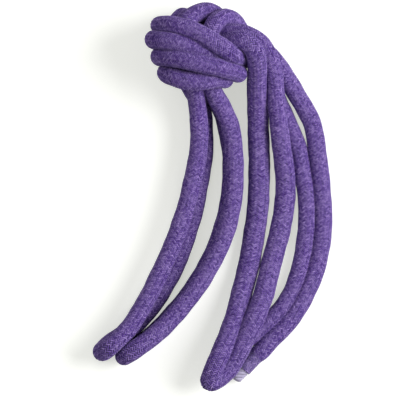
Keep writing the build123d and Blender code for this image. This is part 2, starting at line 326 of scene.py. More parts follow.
    def line(self) -> np.ndarray:
        """Points of the rope's smooth line, read from a NURBS spline with those control points."""
        points = self.control_points()
        curve = bpy.data.curves.new("rope_route", "CURVE")
        curve.dimensions = "3D"
        curve.resolution_u = self.pieces_per_point
        spline = curve.splines.new("NURBS")
        spline.points.add(len(points) - 1)
        spline.points.foreach_set("co", np.c_[points, np.ones(len(points))].ravel())
        spline.order_u = 3
        spline.use_endpoint_u = True
        holder = bpy.data.objects.new("rope_route", curve)
        mesh = bpy.data.meshes.new_from_object(holder)
        line = np.empty(len(mesh.vertices) * 3)
        mesh.vertices.foreach_get("co", line)
        bpy.data.objects.remove(holder)
        bpy.data.meshes.remove(mesh)
        bpy.data.curves.remove(curve)
        return line.reshape(-1, 3)


def carried_frames(line: np.ndarray) -> tuple[np.ndarray, np.ndarray, np.ndarray]:
    """Directions along, beside and above a line, carried from point to point without twist.

    Each step reflects the last frame in the plane halfway between two points, and then in the plane
    that turns the reflected tangent into the new one (the double reflection method).

    Args:
        line: points of the line.

    Returns:
        Unit tangents, sides and tops, one row a point.
    """
    tangent = np.gradient(line, axis=0)
    tangent /= np.linalg.norm(tangent, axis=1)[:, None]
    side = np.zeros_like(line)
    first = np.cross(tangent[0], (0, 0, 1))
    side[0] = first / np.linalg.norm(first)
    for i in range(len(line) - 1):
        step = line[i + 1] - line[i]
        turned = side[i] - 2 * step @ side[i] / (step @ step) * step
        heading = tangent[i] - 2 * step @ tangent[i] / (step @ step) * step
        change = tangent[i + 1] - heading
        size = change @ change
        side[i + 1] = turned - 2 * change @ turned / size * change if size > 0 else turned
    return tangent, side, np.cross(tangent, side)


@dataclass
class RopeForm:
    """The rope's smooth line and how far its surface reaches from it, ring by ring.

    Attributes:
        full_radius: radius of the rope where nothing presses it.
        grip_radius: radius of the cover where a sleeve grips it.
        grip_length: length of cover inside a sleeve.
        open_length: how far a sleeve goes on past the cut end of the cover.
        unevenness: how far each of the stray waves takes the radius from even.
        stray_waves: length of each wave, and how often it winds round the rope in that length.
        grip_ease: length over which the radius eases down to the gripped one.
        slack: stretches that lie slack and so are thicker: the middle of each, how much its radius
            grows there, and how far along the rope this reaches, either way.
        ring_step: spacing of the rings along the line.
        directions: number of directions in a ring.
        press_reach: how far off a neighbour may press, in full radii.
        own_reach: how far along the rope its own points don't press it, in full radii.
        least_radius: what pressing leaves at the least.
        rounding_rounds: how often the pressed corners are averaged.
        floor_height: height at which the surface rests, to leave room for the nap.
    """

    route: Route
    full_radius: float = 0.0050
    grip_radius: float = 0.0041
    grip_length: float = 0.0100
    open_length: float = 0.0090
    grip_ease: float = 0.002
    unevenness: float = 0.00008
    stray_waves: tuple[tuple[float, int], ...] = ((0.0113, 1), (0.0177, -2), (0.0291, 1))
    slack: tuple[tuple[Point, float, float], ...] = (
        ((0.0255, -0.0060, 0.0050), 0.00095, 0.092),
        ((0.0340, -0.0360, 0.0055), 0.00070, 0.062),
    )
    ring_step: float = 0.001
    directions: int = 48
    press_reach: float = 2.2
    own_reach: float = 3.2
    least_radius: float = 0.0039
    rounding_rounds: int = 2
    floor_height: float = 0.0002

    def __post_init__(self) -> None:
        """Works out the line, its frames and the pressed radii."""
        self.line = spaced(self.route.line(), self.ring_step)
        self.tangent, self.side, self.top = carried_frames(self.line)
        self.along = np.r_[0, np.cumsum(np.linalg.norm(np.diff(self.line, axis=0), axis=1))]
        self.length = float(self.along[-1])
        self.reach = self.pressed_radii()

    def ring_directions(self) -> np.ndarray:
        """Outward unit directions of every ring, as rings by directions by three."""
        angle = np.arange(self.directions) * 2 * math.pi / self.directions
        return (
            np.cos(angle)[None, :, None] * self.side[:, None]
            + np.sin(angle)[None, :, None] * self.top[:, None]
        )

    def free_radii(self) -> np.ndarray:
        """Radius of the rope where nothing touches it.

        It strays from even by slow sines that wind round the rope, swells by flat-topped bells where
        the rope lies slack, and eases down to the gripped radius before the sleeves.

        Returns:
            Radii, rings by directions.
        """
        angle = np.arange(self.directions)[None, :] * 2 * math.pi / self.directions
        along = self.along[:, None]
        stray = sum(
            np.sin(2 * math.pi * along / wave + turns * angle)
            for wave, turns in self.stray_waves
        )
        from_end = np.minimum(along, self.length - along)
        eased = np.clip((from_end - self.grip_length) / self.grip_ease, 0, 1)
        eased = eased * eased * (3 - 2 * eased)
        swell = np.zeros_like(along)
        for place, rise, spread in self.slack:
            middle = self.along[np.linalg.norm(self.line - place, axis=1).argmin()]
            swell += rise * np.exp(-(((along - middle) / spread) ** 4))
        free = self.full_radius + self.unevenness * stray + swell
        return self.grip_radius + (free - self.grip_radius) * eased

    def pressed_radii(self) -> np.ndarray:
        """Radius of the rope in each direction of each ring.

        A neighbour at offset v from the ring's middle stops the surface halfway to it: in direction d
        the surface reaches |v|^2 / (2 v.d) at most. The floor stops it at its height. A rope is soft,
        so the corners left by this are rounded by averaging round the ring and along the rope.

        Returns:
            Radii, rings by directions.
        """
        outward = self.ring_directions()
        reach = self.free_radii()
        sleeve_points = 9
        past = np.arange(1, sleeve_points + 1)[:, None] * self.open_length / sleeve_points
        before_start = self.line[0] - past * self.tangent[0]
        after_end = self.line[-1] + past * self.tangent[-1]
        solid = np.vstack([self.line, before_start, after_end])
        solid_along = np.r_[self.along, -past[:, 0], self.length + past[:, 0]]
        near = self.press_reach * self.full_radius
        own_stretch = self.own_reach * self.full_radius
        least_facing = 1e-5
        batch = 200
        for start in range(0, len(self.line), batch):
            rings = slice(start, start + batch)
            offset = solid[None, :, :] - self.line[rings, None, :]
            gap = np.linalg.norm(offset, axis=2)
            beside = abs(solid_along[None, :] - self.along[rings, None]) > own_stretch
            ring, other = np.nonzero((gap < near) & beside)
            v = offset[ring, other]
            towards = np.einsum("pk,pdk->pd", v, outward[start + ring])
            halfway = (gap[ring, other] ** 2)[:, None] / (2 * np.maximum(towards, least_facing))
            limit = np.where(towards > least_facing, halfway, 1.0)
            np.minimum.at(reach, start + ring, limit)
        down = -outward[:, :, 2]
        least_down = 0.05
        height = self.line[:, None, 2] - self.floor_height
        to_floor = np.where(down > least_down, height / np.maximum(down, least_down), 1.0)
        reach = np.minimum(reach, to_floor)
        reach = np.maximum(reach, self.least_radius)
        for _ in range(self.rounding_rounds):
            reach = (np.roll(reach, 1, axis=1) + 2 * reach + np.roll(reach, -1, axis=1)) / 4
            inner = (reach[:-2] + 2 * reach[1:-1] + reach[2:]) / 4
            reach = np.vstack([reach[:1], inner, reach[-1:]])
        return reach

    def surface(self, along: np.ndarray, angle: np.ndarray, rise: np.ndarray) -> np.ndarray:
        """Points over the rope's surface.

        Args:
            along: length along the rope, in metres.
            angle: angle round it, in radians.
            rise: height over the pressed surface, in metres.

        Returns:
            The points, in the shape of the inputs by three.
        """
        place = np.clip(along / self.length * (len(self.line) - 1), 0, len(self.line) - 1.000001)
        low = place.astype(int)
        share = place - low
        turn = np.mod(angle / (2 * math.pi), 1) * self.directions
        here = turn.astype(int) % self.directions
        turn_share = turn - np.floor(turn)
        after = (here + 1) % self.directions

        def radius_in(ring: np.ndarray) -> np.ndarray:
            """Radius of a ring in the wanted direction."""
            return (1 - turn_share) * self.reach[ring, here] + turn_share * self.reach[ring, after]

        def at(values: np.ndarray) -> np.ndarray:
            """Values of the line at the wanted places."""
            return (1 - share)[..., None] * values[low] + share[..., None] * values[low + 1]

        out = np.cos(angle)[..., None] * at(self.side) + np.sin(angle)[..., None] * at(self.top)
        radius = (1 - share) * radius_in(low) + share * radius_in(low + 1)
        return at(self.line) + (radius + rise)[..., None] * out

    def outward(self, along: np.ndarray, angle: np.ndarray, points: np.ndarray) -> np.ndarray:
        """Offsets from points at or in the surface to a millimetre above it.

        Args:
            along: length along the rope, in metres.
            angle: angle round it, in radians.
            points: the points at those places.

        Returns:
            The offsets, in the shape of the points.
        """
        return self.surface(along, angle, np.full(along.shape, 0.001)) - points


def mesh_object(
    name: str, points: np.ndarray, *faces: np.ndarray, uv: np.ndarray | None = None
) -> bpy.types.Object:
    """A smooth-shaded mesh in the scene.

    Args:
        name: the piece's name.
        points: vertices, one row each.
        faces: arrays of vertex numbers, anticlockwise from outside, each with its own face size.
        uv: one pair a vertex, or None.

    Returns:
        The new object, at the origin.
    """
    corners = np.concatenate([part.ravel() for part in faces]).astype(np.int32)
    sizes = np.concatenate([np.full(len(part), part.shape[1], dtype=np.int32) for part in faces])
    mesh = bpy.data.meshes.new(name)
    mesh.vertices.add(len(points))
    mesh.vertices.foreach_set("co", points.astype(np.float32).ravel())
    mesh.loops.add(len(corners))
    mesh.loops.foreach_set("vertex_index", corners)
    mesh.polygons.add(len(sizes))
    mesh.polygons.foreach_set("loop_start", np.r_[0, np.cumsum(sizes)[:-1]].astype(np.int32))
    mesh.polygons.foreach_set("use_smooth", np.ones(len(sizes), bool))
    if uv is not None:
        layer = mesh.uv_layers.new(name="UVMap")
        layer.data.foreach_set("uv", uv[corners].astype(np.float32).ravel())
    mesh.update(calc_edges=True)
    mesh.validate()
    piece = bpy.data.objects.new(name, mesh)
    bpy.context.scene.collection.objects.link(piece)
    return piece


def tube_faces(rings: int, sides: int, first: int = 0, looped: bool = False) -> np.ndarray:
    """Quads of a tube of rings.

    Args:
        rings: number of rings.
        sides: points a ring.
        first: number of the tube's first vertex.
        looped: whether the last ring joins the first, instead of leaving two open ends.

    Returns:
        Four vertex numbers a row.
    """
    ring = np.arange(rings if looped else rings - 1)[:, None]
    here = np.arange(sides)[None, :]
    after = (here + 1) % sides
    low, high = ring * sides, (ring + 1) % rings * sides
    quads = np.stack([low + here, low + after, high + after, high + here], axis=-1)
    return quads.reshape(-1, 4) + first


def end_fans(rings: int, sides: int, middles: tuple[int, int]) -> np.ndarray:
    """Triangles that close both ends of a tube, each round a vertex in its middle.

    Args:
        rings: number of rings.
        sides: points a ring.
        middles: numbers of the middle vertices of the first and the last ring.

    Returns:
        Three vertex numbers a row.
    """
    here = np.arange(sides)
    after = (here + 1) % sides
    last = (rings - 1) * sides
    start = np.stack([after, here, np.full(sides, middles[0])], axis=1)
    finish = np.stack([last + here, last + after, np.full(sides, middles[1])], axis=1)
    return np.vstack([start, finish])


@dataclass
class Cover:
    """The rope's cover: a dark body, whose dark colour is painted shade between the yarns, and the yarns of
    a two-over-two round braid on it.

    Attributes:
        yarns_each_way: yarns that wind each way.
        lay_angle: angle of a yarn from the rope's axis.
        yarn_step: spacing of a yarn's points, along the rope.
        weave_rise: how far a yarn goes up and down over the crossing yarns.
        yarn_height: half the thickness of a yarn.
        yarn_section: corners of a yarn's section, in half widths across and heights out.
        flatness: how far the rise and fall of a yarn is cut flat at its tops and bottoms.
        sink: depth of the yarns' middle level under the rope's full surface.
        body_depth: depth of the body under the rope's full surface.
        body_sides: points in a ring of the body.
        yarns_a_piece: yarns in one piece.
    """

    form: RopeForm
    yarns_each_way: int = 18
    lay_angle: float = math.radians(58)
    yarn_step: float = 0.0005
    weave_rise: float = 0.00027
    yarn_height: float = 0.00036
    yarn_section: tuple[tuple[float, float], ...] = (
        (1.0, -0.25), (0.55, 0.85), (-0.55, 0.85), (-1.0, -0.25),
    )
    flatness: float = 1.5
    sink: float = 0.00042
    body_depth: float = 0.00070
    body_sides: int = 24
    yarns_a_piece: int = 4

    def body(self) -> bpy.types.Object:
        """The closed tube under the yarns, with UV along and round the rope in metres."""
        form = self.form
        rings = len(form.line)
        angle = np.arange(self.body_sides) * 2 * math.pi / self.body_sides
        along = np.repeat(form.along[:, None], self.body_sides, axis=1)
        angles = np.repeat(angle[None, :], rings, axis=0)
        points = form.surface(along, angles, np.full(along.shape, -self.body_depth)).reshape(-1, 3)
        uv = np.stack([angles * form.full_radius, along], axis=-1).reshape(-1, 2)
        points = np.vstack([points, form.line[0], form.line[-1]])
        uv = np.vstack([uv, [[0, 0], [0, form.length]]])
        fans = end_fans(rings, self.body_sides, (len(points) - 2, len(points) - 1))
        return mesh_object("rope_body", points, tube_faces(rings, self.body_sides), fans, uv=uv)

    def yarns(self, lay: Lay, numbers: range) -> bpy.types.Object:
        """Several yarns of one lay, as flattened tubes that go over two and under two.

        A yarn winds round the rope at a fixed angle. Its rise is a flattened cosine of how many
        crossing yarns it has met, so that where one lay is up the other is down.

        Args:
            lay: which way the yarns wind.
            numbers: which of that lay's yarns.

        Returns:
            The piece that holds them.
        """
        form = self.form
        count = self.yarns_each_way
        turn_rate = math.tan(self.lay_angle) / form.full_radius
        stations = np.linspace(0, form.length, int(form.length / self.yarn_step))
        width = 2 * math.pi * form.full_radius * math.cos(self.lay_angle) / count
        start = np.array(numbers)[:, None] * 2 * math.pi / count
        angle = start + lay.value * turn_rate * stations[None, :]
        crossed = (angle + lay.value * turn_rate * stations[None, :]) * count / (2 * math.pi)
        phase = (np.array(numbers)[:, None] + crossed - 0.5) * math.pi / 2
        up = lay.value * np.clip(self.flatness * np.cos(phase), -1, 1)
        along = np.repeat(stations[None, :], len(numbers), axis=0)
        middle = form.surface(along, angle, -self.sink + self.weave_rise * up)
        heading = np.gradient(middle, axis=1)
        heading /= np.linalg.norm(heading, axis=2)[..., None]
        outer = form.outward(along, angle, middle)
        outer -= heading * (outer * heading).sum(axis=2)[..., None]
        outer /= np.linalg.norm(outer, axis=2)[..., None]
        across = np.cross(heading, outer)
        half = width / 2
        sides = len(self.yarn_section)
        rings = np.stack([
            middle + half * x * across + self.yarn_height * y * outer for x, y in self.yarn_section
        ], axis=2)
        points = rings.reshape(-1, 3)
        each = len(stations) * sides
        firsts = np.arange(len(numbers))[:, None] * each
        faces = [tube_faces(len(stations), sides, first) for first in firsts[:, 0]]
        faces.append(firsts + np.arange(sides)[None, ::-1])
        faces.append(firsts + each - sides + np.arange(sides)[None, :])
        length = along / math.cos(self.lay_angle)
        lanes = (np.array(numbers) + (count if lay is Lay.LEFT else 0))[:, None, None]
        round_it = np.array([0.0, 0.33, 0.67, 1.0])[None, None, :]
        uv = np.stack([
            np.broadcast_to(lanes + LANE_SHARE * round_it, rings.shape[:3]),
            np.broadcast_to(length[..., None], rings.shape[:3]),
        ], axis=-1).reshape(-1, 2)
        name = f"cover_yarns_{lay.name.lower()}_{numbers.start // self.yarns_a_piece + 1}"
        return mesh_object(name, points, *faces, uv=uv)


@dataclass
class CutEnd:
    """A free end of the rope: its clear sleeve and the core yarns that show in it.

    Attributes:
        number: the strand's number, 1 or 3.
        at_start: whether the rope's line starts at this end.
        sleeve_radius: outer radius of the sleeve at its rims.
        waist: how much narrower it is where it grips the cover.
        wall: thickness of its wall.
        flute_depth: how deep its flutes are.
        flute_rate: how fast they wind, in radians a metre.
        core_radius: radius of the core.
        core_length: how far the core shows.
        core_inside: how far the core reaches back into the cover.
        core_dome: share of its length over which its end closes.
        core_lobes: how many twisted yarns the core has.
        lobe_depth: how far they stand out, as a share of the radius.
        ragged_depth: how ragged its end is, as a share of the radius.
        core_pitch: length in which they wind once round.
        sides: points in a ring.
    """

    form: RopeForm
    number: int
    at_start: bool
    sleeve_radius: float = 0.00495
    waist: float = 0.00022
    wall: float = 0.00045
    flute_depth: float = 0.00004
    flute_rate: float = 160.0
    core_radius: float = 0.0034
    core_length: float = 0.0078
    core_inside: float = 0.0006
    core_dome: float = 0.28
    core_lobes: int = 7
    lobe_depth: float = 0.09
    ragged_depth: float = 0.10
    core_pitch: float = 0.016
    sides: int = 56

    def frame_at(self, past: np.ndarray) -> tuple[np.ndarray, np.ndarray, np.ndarray]:
        """Middle, side and top of the end at distances past the cut of the cover.

        Inside the cover it follows the rope's line, and past the cut it goes straight on.

        Args:
            past: distances past the cut, below zero inside the cover.

        Returns:
            The middles, sides and tops, one row each.
        """
        form = self.form
        cut = 0 if self.at_start else len(form.line) - 1
        out = form.tangent[cut] * (-1 if self.at_start else 1)
        inside = np.clip(-past, 0, None)
        along = inside if self.at_start else form.length - inside
        place = [
            np.stack([np.interp(along, form.along, values[:, axis]) for axis in range(3)], axis=1)
            for values in (form.line, form.side, form.top)
        ]
        middle = place[0] + np.clip(past, 0, None)[:, None] * out
        top = place[2] if not self.at_start else -place[2]
        return middle, place[1], top

    def rings(self, past: np.ndarray, radius: np.ndarray) -> np.ndarray:
        """Rings of points about the end's line.

        Args:
            past: distances of the rings past the cut.
            radius: radii, rings by sides.

        Returns:
            The points, rings by sides by three.
        """
        middle, side, top = self.frame_at(past)
        angle = np.arange(self.sides) * 2 * math.pi / self.sides
        out = np.cos(angle)[None, :, None] * side[:, None] + np.sin(angle)[None, :, None] * top[:, None]
        return middle[:, None] + radius[..., None] * out

    def sleeve(self) -> bpy.types.Object:
        """The clear sleeve: a closed wall whose profile runs out along the outside and back inside.

        The outer radius dips by a cosine, most at three tenths of the way over the gripped cover,
        and three faint flutes wind along it. Both rims are half rounds.

        Returns:
            The piece.
        """
        start, finish = -self.form.grip_length, self.form.open_length
        share = np.linspace(0, 1, 34)
        run = start + (finish - start) * share
        round_it = np.linspace(0, math.pi, 7)[1:-1]
        half = self.wall / 2
        out, back = half * np.sin(round_it), half * np.cos(round_it)
        past = np.r_[run, finish + out, run[::-1], start - out]
        depth = np.r_[0 * run, half - back, self.wall + 0 * run, half + back]
        from_waist = (past - start) / (finish - start) - 0.3
        dip = self.waist * 0.5 * (1 + np.cos(2 * math.pi * np.clip(from_waist, -0.5, 0.5)))
        angle = np.arange(self.sides)[None, :] * 2 * math.pi / self.sides
        flutes = self.flute_depth * np.cos(3 * angle - self.flute_rate * past[:, None])
        radius = (self.sleeve_radius - dip - depth)[:, None] + flutes
        points = self.rings(past, radius)
        uv = np.stack([np.broadcast_to(angle * self.sleeve_radius, radius.shape),
                       np.broadcast_to(past[:, None], radius.shape)], axis=-1).reshape(-1, 2)
        faces = tube_faces(len(past), self.sides, looped=True)
        return mesh_object(f"clear_sleeve_{self.number}", points.reshape(-1, 3), faces, uv=uv)

    def core(self) -> bpy.types.Object:
        """The core: a closed rod of twisted yarns with a ragged, domed end.

        Its radius is core_radius times one plus lobe_depth times the cosine of lobes that wind along
        it. Near its end it closes by a quarter ellipse, where a sine of twice as many lobes makes it
        ragged.

        Returns:
            The piece.
        """
        angle = np.arange(self.sides) * 2 * math.pi / self.sides
        run = np.linspace(-self.core_inside, self.core_length, 40)
        dome_length = self.core_length * self.core_dome
        share = np.clip((run - (self.core_length - dome_length)) / dome_length, 0, 0.985)
        dome = np.sqrt(1 - share**2)
        winding = self.core_lobes * (angle[None, :] - 2 * math.pi * run[:, None] / self.core_pitch)
        ragged = 1 - self.ragged_depth * share[:, None] * np.sin(2 * winding + 1.3)
        radius = self.core_radius * dome[:, None] * ragged * (1 + self.lobe_depth * np.cos(winding))
        points = self.rings(run, radius).reshape(-1, 3)
        middles = self.frame_at(np.array([run[0], run[-1] + 0.0001]))[0]
        uv = np.stack([winding / (2 * math.pi), np.broadcast_to(run[:, None], winding.shape)], axis=-1)
        uv = np.vstack([uv.reshape(-1, 2), [[0, run[0]], [0, run[-1]]]])
        points = np.vstack([points, middles])
        fans = end_fans(len(run), self.sides, (len(points) - 2, len(points) - 1))
        sides = tube_faces(len(run), self.sides)
        return mesh_object(f"core_yarns_{self.number}", points, sides, fans, uv=uv)


@dataclass
class Fuzz:
    """Short loose fibres that stand off the cover.

    Attributes:
        name: the piece's name.
        fibres: how many there are.
        shortest: length of the shortest.
        longest: length of the longest.
        thickness: width at the root.
        lint_share: share of fibres that are thick bits of pale lint.
        seed: start of the random draws.
        root_depth: how deep under the surface a fibre starts.
        least_tilt: how far the steepest fibre leans, as a share of the flattest one.
        lint_extra: how much thicker lint is, as a share of the thickness.
    """

    form: RopeForm
    name: str
    fibres: int
    shortest: float
    longest: float
    thickness: float
    lint_share: float
    seed: int
    root_depth: float = 0.0004
    least_tilt: float = 0.35
    lint_extra: float = 1.4

    def build(self) -> bpy.types.Object:
        """Thin pyramids rooted in the cover and leaning off it, spread evenly at random."""
        draw = np.random.default_rng(self.seed)
        form = self.form
        margin = form.grip_length + 0.0005
        along = draw.uniform(margin, form.length - margin, self.fibres)
        angle = draw.uniform(0, 2 * math.pi, self.fibres)
        root = form.surface(along, angle, np.full(self.fibres, -self.root_depth))
        out = form.outward(along, angle, root)
        out /= np.linalg.norm(out, axis=1)[:, None]
        lean = draw.normal(size=(self.fibres, 3))
        lean -= out * (lean * out).sum(axis=1)[:, None]
        lean /= np.linalg.norm(lean, axis=1)[:, None]
        tilt = draw.uniform(self.least_tilt, 1.0, self.fibres)[:, None]
        reach = draw.uniform(self.shortest, self.longest, self.fibres)[:, None]
        tip = root + reach * (out * (1 - tilt * 0.6) + lean * tilt)
        tip[:, 2] = np.maximum(tip[:, 2], 0.0001)  # just above the floor
        second = np.cross(out, lean)
        shade = draw.random((self.fibres, 2))
        lint = shade[:, 1:] > 1 - self.lint_share
        width = self.thickness * (1 + self.lint_extra * lint)
        base = [
            root + width * (math.cos(a) * lean + math.sin(a) * second)
            for a in (0, 2 * math.pi / 3, 4 * math.pi / 3)
        ]
        points = np.stack([*base, tip], axis=1).reshape(-1, 3)
        number = np.arange(self.fibres)[:, None, None] * 4
        faces = (np.array([[0, 1, 3], [1, 2, 3], [2, 0, 3], [0, 2, 1]])[None] + number).reshape(-1, 3)
        shade[:, 1] = lint[:, 0]
        return mesh_object(self.name, points, faces, uv=np.repeat(shade, 4, axis=0))


def add_socket(group: bpy.types.NodeTree, name: str, way: str, kind: str) -> None:
    """Adds a named socket to a node group."""
    group.interface.new_socket(name=name, in_out=way, socket_type=kind)


def add_node(
    tree: bpy.types.NodeTree, kind: str, inputs: dict | None = None, **settings: object
) -> bpy.types.Node:
    """Adds a node, sets it up and feeds its inputs.

    Args:
        tree: the node tree.
        kind: the node's type.
        inputs: a socket to link or a value to set, by the input's name or number.
        settings: properties of the node.

    Returns:
        The node.
    """
    node = tree.nodes.new(kind)
    for name, value in settings.items():
        setattr(node, name, value)
    for key, value in (inputs or {}).items():
        if isinstance(value, bpy.types.NodeSocket):
            tree.links.new(value, node.inputs[key])
        else:
            node.inputs[key].default_value = value
    return node


def add_math(tree: bpy.types.NodeTree, operation: str, *values: object) -> bpy.types.NodeSocket:
    """Adds a Math node on sockets and numbers, and gives its output."""
    return add_node(tree, "ShaderNodeMath", dict(enumerate(values)), operation=operation).outputs[0]


def add_mix(tree: bpy.types.NodeTree, share: object, first: object, second: object) -> bpy.types.NodeSocket:
    """Adds a colour mix from first to second by share, and gives its output."""
    return add_node(tree, "ShaderNodeMix", {0: share, 6: first, 7: second}, data_type="RGBA").outputs[2]


def seen_directly(tree: bpy.types.NodeTree) -> bpy.types.NodeSocket:
    """One for what the camera sees, directly, in a gloss or through something clear, else zero."""
    path = add_node(tree, "ShaderNodeLightPath").outputs
    seen = add_math(tree, "MAXIMUM", path["Is Camera Ray"], path["Is Glossy Ray"])
    return add_math(tree, "MAXIMUM", seen, path["Is Transmission Ray"])


@dataclass(frozen=True)
class Light:
    """A soft lamp: its place, what it aims at, its size and its strength."""

    name: str
    place: Point
    size: float
    power: float

    def build(self, target: Vector) -> None:
        """Adds the area lamp, turned towards the target."""
        lamp = bpy.data.lights.new(self.name, "AREA")
        lamp.shape = "DISK"
        lamp.size = self.size
        lamp.energy = self.power
        holder = bpy.data.objects.new(self.name, lamp)
        holder.location = self.place
        holder.rotation_euler = (target - Vector(self.place)).to_track_quat("-Z", "Y").to_euler()
        bpy.context.scene.collection.objects.link(holder)


@dataclass
class Studio:
    """Pale floor, soft light and the camera above."""

    view_width: float = 0.2222
    camera_height: float = 4.0
    view_middle: Point = (-0.0066, -0.0035, 0.0)
    floor_size: float = 6.0
    floor_colour: tuple[float, float, float, float] = (0.66, 0.66, 0.65, 1)
    floor_glow: tuple[float, float, float, float] = (0.54, 0.55, 0.51, 1)
    sky: float = 0.33

    def camera(self) -> None:
        """Adds the camera, looking straight down on the hank from far enough to flatten it."""
        data = bpy.data.cameras.new("camera")
        data.sensor_width = 36.0
        data.lens = 36.0 * self.camera_height / self.view_width
        data.clip_end = 20.0
        holder = bpy.data.objects.new("camera", data)
        holder.location = Vector(self.view_middle) + Vector((0, 0, self.camera_height))
        bpy.context.scene.collection.objects.link(holder)
        bpy.context.scene.camera = holder

    def floor(self) -> None:
        """Adds the floor, which shows white to the camera and keeps the shadows."""
        half = self.floor_size / 2
        points = np.array([(-half, -half, 0), (half, -half, 0), (half, half, 0), (-half, half, 0)])
        floor = mesh_object("floor", points, np.array([[0, 1, 2, 3]]))
        material = bpy.data.materials.new("pale_floor")
        material.use_nodes = True
        tree = material.node_tree
        shader = tree.nodes["Principled BSDF"]
        shader.inputs["Roughness"].default_value = 0.9
        shader.inputs["Specular IOR Level"].default_value = 0.0
        shader.inputs["Base Color"].default_value = self.floor_colour
        shader.inputs["Emission Color"].default_value = self.floor_glow
        tree.links.new(seen_directly(tree), shader.inputs["Emission Strength"])
        floor.data.materials.append(material)

    def world(self) -> None:
        """Adds an even pale sky, white where it is looked at."""
        world = bpy.data.worlds.new("studio")
        world.use_nodes = True
        tree = world.node_tree
        background = tree.nodes["Background"]
        background.inputs["Color"].default_value = (1, 1, 1, 1)
        seen = seen_directly(tree)
        brightness = add_math(tree, "MULTIPLY_ADD", seen, 1 - self.sky, self.sky)
        tree.links.new(brightness, background.inputs["Strength"])
        bpy.context.scene.world = world

    def build(self) -> None:
        """Adds camera, floor, sky and lamps."""
        self.camera()
        self.floor()
        self.world()
        for light in (
            Light("key", (1.06, 0.16, 0.96), 1.0, 23.0),
            Light("fill", (-0.7, 0.6, 1.3), 1.2, 3.5),
        ):
            light.build(Vector((0, 0, 0)))
        bpy.context.scene.view_settings.view_transform = "Standard"


class FibreGroups:
    """The shader node groups that several finishes share."""

    _built: dict[str, bpy.types.NodeTree] = {}

    @classmethod
    def streaks(cls) -> bpy.types.NodeTree:
        """Fibre streaks: noise stretched along V, and the slanting ridges of a ply's twist.

        The twist is half of one plus the sine of V times Twist Rate plus U times a full turn.
        """
        if "fibre_streaks" not in cls._built:
            group = bpy.data.node_groups.new("fibre_streaks", "ShaderNodeTree")
            add_socket(group, "Vector", "INPUT", "NodeSocketVector")
            for name in ("Across Scale", "Along Scale", "Twist Rate"):
                add_socket(group, name, "INPUT", "NodeSocketFloat")
            add_socket(group, "Streak", "OUTPUT", "NodeSocketFloat")
            add_socket(group, "Twist", "OUTPUT", "NodeSocketFloat")
            inner = group.nodes.new("NodeGroupInput")
            outer = group.nodes.new("NodeGroupOutput")
            parts = add_node(group, "ShaderNodeSeparateXYZ", {0: inner.outputs["Vector"]})
            across = add_math(group, "MULTIPLY", parts.outputs[0], inner.outputs["Across Scale"])
            along = add_math(group, "MULTIPLY", parts.outputs[1], inner.outputs["Along Scale"])
            place = add_node(group, "ShaderNodeCombineXYZ", {0: across, 1: along})
            noise = add_node(group, "ShaderNodeTexNoise", {
                "Vector": place.outputs[0], "Scale": 1.0, "Detail": 3.0, "Roughness": 0.6,
            })
            turned = add_math(group, "MULTIPLY", parts.outputs[1], inner.outputs["Twist Rate"])
            phase = add_math(group, "MULTIPLY_ADD", parts.outputs[0], 2 * math.pi, turned)
            wave = add_math(group, "MULTIPLY_ADD", add_math(group, "SINE", phase), 0.5, 0.5)
            group.links.new(noise.outputs["Fac"], outer.inputs["Streak"])
            group.links.new(wave, outer.inputs["Twist"])
            cls._built["fibre_streaks"] = group
        return cls._built["fibre_streaks"]

    @classmethod
    def worn_tint(cls) -> bpy.types.NodeTree:
        """Soft patches of another colour, where two sizes of noise in object space are both high."""
        if "worn_tint" not in cls._built:
            group = bpy.data.node_groups.new("worn_tint", "ShaderNodeTree")
            add_socket(group, "Color", "INPUT", "NodeSocketColor")
            add_socket(group, "Tint", "INPUT", "NodeSocketColor")
            for name in ("Amount", "Patch Scale", "Grain Scale"):
                add_socket(group, name, "INPUT", "NodeSocketFloat")
            add_socket(group, "Color", "OUTPUT", "NodeSocketColor")
            inner = group.nodes.new("NodeGroupInput")
            outer = group.nodes.new("NodeGroupOutput")
            place = add_node(group, "ShaderNodeTexCoord").outputs["Object"]
            patch, grain = (
                add_node(group, "ShaderNodeTexNoise", {
                    "Vector": place, "Scale": inner.outputs[name], "Detail": 2.0,
                }).outputs["Fac"]
                for name in ("Patch Scale", "Grain Scale")
            )
            both = add_math(group, "MULTIPLY", patch, grain)
            mask = add_node(group, "ShaderNodeMapRange", {
                "Value": both, "From Min": 0.16, "From Max": 0.42,
                "To Min": 0.0, "To Max": inner.outputs["Amount"],
            })
            mixed = add_mix(group, mask.outputs[0], inner.outputs["Color"], inner.outputs["Tint"])
            group.links.new(mixed, outer.inputs["Color"])
            cls._built["worn_tint"] = group
        return cls._built["worn_tint"]


